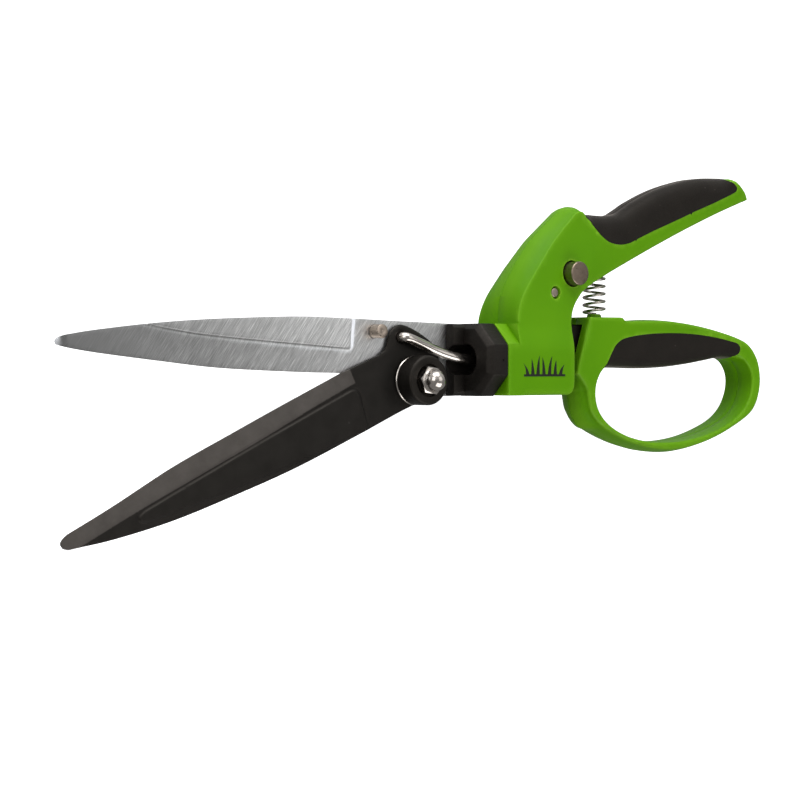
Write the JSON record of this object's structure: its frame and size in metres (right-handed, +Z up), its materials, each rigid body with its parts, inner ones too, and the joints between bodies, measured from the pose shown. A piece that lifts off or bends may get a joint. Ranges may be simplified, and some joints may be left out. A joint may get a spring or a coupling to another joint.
{
  "type": "grass shears",
  "caption": "One-handed grass shears with a swivelling blade head, one steel and one coated blade, a squeeze loop handle, a return spring and soft grips.",
  "frame": {"origin": "centre of the bounding box at rest, handles open", "axes": "+X runs along the head's swivel axis from the blade tips to the handles, -Y faces the cap-nut side, +Z points up from the loop handle to the top handle"},
  "size_m": [0.3476, 0.0296, 0.145],
  "materials": {
    "green_plastic": "satin moulded green plastic",
    "soft_grip": "matte soft-touch overmould",
    "black_plastic": "fine-textured black moulding",
    "blade_steel": "ground steel with slanted grinding lines",
    "coated_blade": "black low-friction blade coating",
    "bright_plate": "bright nickel plate",
    "pin_steel": "satin steel with bright rim",
    "spring_steel": "bright drawn spring wire"
  },
  "bodies": {
    "body": {"upper_handle": "green_plastic", "upper_grip": "soft_grip", "handle_pivot_pin": "pin_steel", "pivot_pin_clip": "spring_steel", "return_spring": "spring_steel", "detent_ball": "pin_steel", "detent_spring": "spring_steel"},
    "lower_lever": {"lower_handle": "green_plastic", "lower_grip": "soft_grip"},
    "lock": {"lock_button": "pin_steel", "lock_button_clip": "spring_steel"},
    "head": {"head_collar": "black_plastic", "swivel_washer": "bright_plate", "neck_retaining_ring": "spring_steel", "fixed_blade": "blade_steel", "stop_pin": "pin_steel", "blade_rivet_upper": "pin_steel", "blade_rivet_lower": "pin_steel", "pivot_bolt": "bright_plate", "pivot_washer": "bright_plate", "disc_spring": "spring_steel", "pivot_cap": "black_plastic", "cap_nut": "bright_plate"},
    "cutter": {"moving_blade": "coated_blade"},
    "rod": {"pull_rod": "bright_plate", "rod_swivel_bush": "black_plastic"}
  },
  "joints": [
    {"name": "handle_squeeze", "type": "hinge", "parent": "body", "child": "lower_lever", "pos_m": [0.04413, 0.00042, 0.01985], "axis": [0, -1, 0], "range_deg": [0, 15.5], "stiffness_Nm_per_rad": 0.8, "springref_deg": -17.19, "deforming": ["return_spring"]},
    {"name": "blade_close", "type": "hinge", "parent": "head", "child": "cutter", "pos_m": [-0.01747, 0.00553, -0.01525], "axis": [0, 1, 0], "range_deg": [0, 23.75]},
    {"name": "rod_hook", "type": "hinge", "parent": "cutter", "child": "rod", "pos_m": [-0.02367, 0.00553, 0.00155], "axis": [0, 1, 0], "range_deg": [-22.7, 0]},
    {"name": "head_swivel", "type": "hinge", "parent": "body", "child": "head", "pos_m": [0.01533, 0.00042, -0.00725], "axis": [1, 0, 0], "range_deg": [-90, 90]},
    {"name": "lock_slide", "type": "slide", "parent": "body", "child": "lock", "axis": [0, 1, 0], "range_m": [0, 0.0034]}
  ],
  "couplings": [
    {"joint": "blade_close", "follows": "handle_squeeze", "ratio": 1.529},
    {"joint": "rod_hook", "follows": "handle_squeeze", "ratio": -1.4626}
  ]
}
